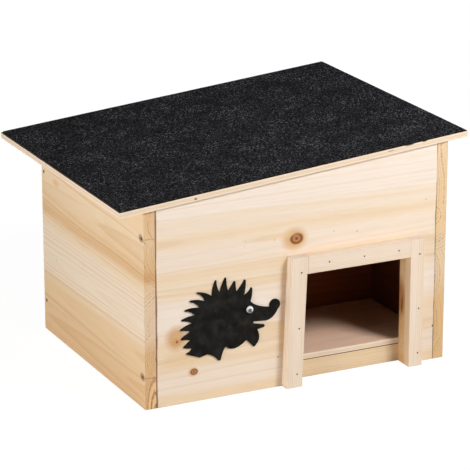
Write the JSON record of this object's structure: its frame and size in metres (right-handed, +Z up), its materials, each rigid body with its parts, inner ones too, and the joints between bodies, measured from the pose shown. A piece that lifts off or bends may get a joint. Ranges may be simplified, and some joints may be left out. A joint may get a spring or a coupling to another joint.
{
  "type": "hedgehog house",
  "caption": "Softwood hedgehog house with a sloping felted roof that lifts on hinges, a framed entrance, an inner baffle wall and a felt hedgehog figure on the front.",
  "frame": {"origin": "on the ground under the middle of the outline seen from above", "axes": "+X to the right along the front, towards the high wall; +Y from the front to the back; +Z up"},
  "size_m": [0.5248, 0.439, 0.3313],
  "materials": {
    "pine_board": "planed, untreated",
    "planed_batten": "planed, untreated",
    "plywood": "sanded",
    "roofing_felt": "mineral grit on bitumen",
    "craft_felt": "matte felt",
    "white_plastic": "gloss",
    "black_plastic": "satin",
    "clear_plastic": "clear, polished",
    "zinc_steel": "zinc plated",
    "nail_steel": "plain steel"
  },
  "bodies": {
    "house": {"left_wall": "pine_board", "right_wall": "pine_board", "front_panel": "pine_board", "back_panel": "pine_board", "floor_board": "plywood", "floor_batten_front": "planed_batten", "floor_batten_back": "planed_batten", "baffle_wall": "pine_board", "door_jamb_left": "planed_batten", "door_jamb_right": "planed_batten", "door_lintel": "planed_batten", "hedgehog_cutout": "craft_felt", "eye_backing": "white_plastic", "eye_dome": "clear_plastic", "hinge_front_wall_leaf": "zinc_steel", "hinge_front_pin": "zinc_steel", "hinge_back_wall_leaf": "zinc_steel", "hinge_back_pin": "zinc_steel", "hinge_wall_screws": "zinc_steel", "left_wall_nails": "nail_steel", "right_wall_nails": "nail_steel", "door_frame_brads": "nail_steel", "floor_nails": "nail_steel", "batten_nails": "nail_steel", "baffle_nails": "nail_steel"},
    "roof": {"roof_board": "plywood", "roof_felt": "roofing_felt", "hinge_front_roof_leaf": "zinc_steel", "hinge_back_roof_leaf": "zinc_steel", "hinge_roof_screws": "zinc_steel"},
    "pupil": {"eye_pupil": "black_plastic"}
  },
  "joints": [
    {"name": "roof_hinge", "type": "hinge", "parent": "house", "child": "roof", "pos_m": [0.23616, -0.0265, 0.31674], "axis": [0, 1, 0], "range_deg": [0, 105]},
    {"name": "pupil_roll", "type": "hinge", "parent": "house", "child": "pupil", "pos_m": [-0.07194, -0.208, 0.11998], "axis": [0, 1, 0], "continuous": true}
  ]
}
